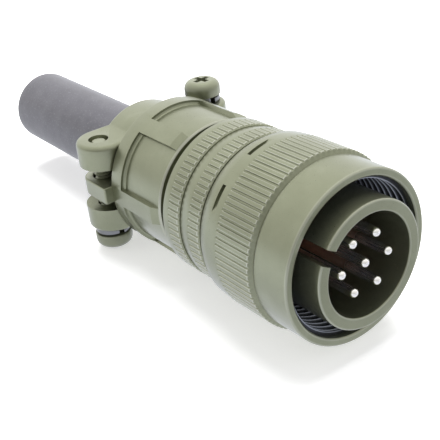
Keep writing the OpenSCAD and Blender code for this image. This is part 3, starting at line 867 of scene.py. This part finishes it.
def makeContacts(c):
    nose = [(c["tip"] - c["pin"] * (1 - math.cos(math.radians(a))), c["pin"] * math.sin(math.radians(a)))
            for a in range(0, 91, c["noseStep"])]
    profile = nose + [(c["face"], c["pin"]), (c["face"], c["root"]), (c["collarFront"], c["root"]),
                      (c["collarFront"], c["collar"]), (c["split"], c["collar"]), (c["split"], c["cup"]),
                      (c["cupBack"], c["cup"]), (c["cupBack"], c["cupBore"]), (c["cupFloor"], c["cupBore"]),
                      (c["cupFloor"], 0)]
    model = asObject("contact", turning(profile, c["steps"]))
    # the solder cup is cut open on one side
    length = c["cupOpen"] + c["cupOver"]
    middle = shift(c["cupBack"] - c["cupOver"] + length / 2, 0, c["cup"])
    carve(model, blockTool((length, 4 * c["cup"], 2 * c["cup"]), middle))
    spots = {"g": (0, 0)}
    for number, letter in enumerate("abcdef"):
        angle = number * math.tau / 6
        spots[letter] = (c["ring"] * math.cos(angle), c["ring"] * math.sin(angle))
    for letter, (y, z) in spots.items():
        piece = bpy.data.objects.new("contact" + letter.upper(), model.data.copy())
        scene.collection.objects.link(piece)
        piece.data.transform(shift(0, y, z))
        place(piece, "plug", silverContact, ["contact_pin_" + letter])
    bpy.data.objects.remove(model)


makeContacts(contact)

# the insulator, its ring and the wire keep their solids and only take a finish
carried = {"front_insert": blackInsulator, "rear_insert": blackInsulator,
           "insert_ring": springSteel, "retaining_wire": springSteel}
for node, material in carried.items():
    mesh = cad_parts[node].data
    mesh.materials.clear()
    mesh.materials.append(material)
print("contacts made")


# floor, light and camera


# the plug lies on its nut and its flange, so the floor slopes along them. as reflected it is a pale sheet,
# whose level goes from one value to another between two distances, in mm, ahead and to each side
floor = {
    "size": 3000, "nut": (-11.3, -14.7), "flange": (-45.5, -13.55), "gap": 0.03, "colour": "#f4f4f4",
    "glow": 0.5, "tint": "#f2f5ff",
    # the sheet is dimmer ahead of the plug as painted shade, and close beside it as a painted shadow under
    # the plug
    "ahead": ((-10, 35), (1.5, 1.05)), "aside": ((12, 55), (0.88, 1.17)),
}


def makeFloor(f):
    bm = bmesh.new()
    bmesh.ops.create_grid(bm, x_segments=1, y_segments=1, size=f["size"] / 2 * mm)
    (nutX, nutZ), (flangeX, flangeZ) = f["nut"], f["flange"]
    slope = math.degrees(math.atan2(nutZ - flangeZ, nutX - flangeX))
    move(bm, shift(nutX, 0, nutZ - f["gap"]) @ about("Y", -slope))
    piece = asObject("floor", bm)
    material, tree = newMaterial("paleFloor")
    ray = addNode(tree, "ShaderNodeLightPath").outputs
    # matte with the plug's shadow, and near white to the camera
    seen = mathOf(tree, "MAXIMUM", ray["Is Camera Ray"], ray["Is Transmission Ray"])
    matte = addNode(tree, "ShaderNodeBsdfDiffuse", None, {"Color": hexLinear(f["colour"])}).outputs["BSDF"]
    glow = addNode(tree, "ShaderNodeEmission", None, {"Color": (1, 1, 1, 1), "Strength": f["glow"]})
    both = addNode(tree, "ShaderNodeAddShader", None, {0: matte, 1: glow.outputs["Emission"]})
    shown = addNode(tree, "ShaderNodeMixShader", None, {"Fac": seen, 1: matte, 2: both.outputs["Shader"]})
    # the sheet that the metal mirrors, dimmed close beside the plug as a painted shadow under it and ahead of
    # it as painted shade
    spot = addNode(tree, "ShaderNodeNewGeometry").outputs["Position"]
    spot = addNode(tree, "ShaderNodeSeparateXYZ", None, {"Vector": spot}).outputs
    distances = {"ahead": spot["X"], "aside": mathOf(tree, "ABSOLUTE", spot["Y"])}
    levels = []
    for way, distance in distances.items():
        ends, to = f[way]
        levels.append(rangeOf(tree, distance, [end * mm for end in ends], to, "SMOOTHSTEP"))
    sheet = addNode(tree, "ShaderNodeEmission", None, {
        "Color": hexLinear(f["tint"]), "Strength": mathOf(tree, "MULTIPLY", *levels)})
    mix = addNode(tree, "ShaderNodeMixShader", None, {
        "Fac": ray["Is Glossy Ray"], 1: shown.outputs["Shader"], 2: sheet.outputs["Emission"]})
    closeMaterial(tree, mix.outputs["Shader"])
    piece.data.materials.append(material)


# white to the camera; the room as reflected is brighter above, to the right and behind the plug
sky = {"seen": 1.0, "light": 0.5, "room": 1.0, "slope": (-0.34, 0.22, 0.4)}


def makeSky(s):
    world = bpy.data.worlds.new("studio")
    scene.world = world
    world.use_nodes = True
    tree = world.node_tree
    tree.nodes.clear()
    ray = addNode(tree, "ShaderNodeLightPath").outputs
    reflected = mathOf(tree, "MAXIMUM", ray["Is Glossy Ray"], ray["Is Transmission Ray"])
    way = addNode(tree, "ShaderNodeTexCoord").outputs["Generated"]
    slant = addNode(tree, "ShaderNodeVectorMath", {"operation": "DOT_PRODUCT"}, {0: way, 1: s["slope"]})
    room = mathOf(tree, "ADD", slant.outputs["Value"], s["room"])
    strength = blendOf(tree, reflected, s["light"], room, "FLOAT")
    strength = blendOf(tree, ray["Is Camera Ray"], strength, s["seen"], "FLOAT")
    back = addNode(tree, "ShaderNodeBackground", None, {"Color": (1, 1, 1, 1), "Strength": strength})
    addNode(tree, "ShaderNodeOutputWorld", None, {"Surface": back.outputs["Background"]})


lamp = {"place": (-120, 120, 420), "aim": (-30, 0, 0), "size": 400, "power": 3.2}


def makeLamp(s):
    data = bpy.data.lights.new("overhead", "AREA")
    data.shape = "DISK"
    data.size = s["size"] * mm
    data.energy = s["power"]
    light = bpy.data.objects.new("overhead", data)
    scene.collection.objects.link(light)
    light.visible_glossy = False
    light.location = Vector(s["place"]) * mm
    light.rotation_euler = (Vector(s["aim"]) - Vector(s["place"])).to_track_quat("-Z", "Y").to_euler()


viewpoint = {
    "place": (81.90, -80.04, 69.47), "lens": 74.04, "sensor": 36.0, "clip": 5,
    "right": (0.6068, 0.7890, -0.0969), "up": (-0.3242, 0.3569, 0.8760), "back": (0.7257, -0.5002, 0.4723),
}


def makeCamera(v):
    lens = bpy.data.cameras.new("camera")
    lens.sensor_width = v["sensor"]
    lens.lens = v["lens"]
    lens.clip_start = v["clip"] * mm
    camera = bpy.data.objects.new("camera", lens)
    scene.collection.objects.link(camera)
    axes = Matrix((v["right"], v["up"], v["back"])).transposed().to_4x4()
    camera.matrix_world = shift(*v["place"]) @ axes
    scene.camera = camera


makeFloor(floor)
makeSky(sky)
makeLamp(lamp)
makeCamera(viewpoint)
print("floor, light and camera set")
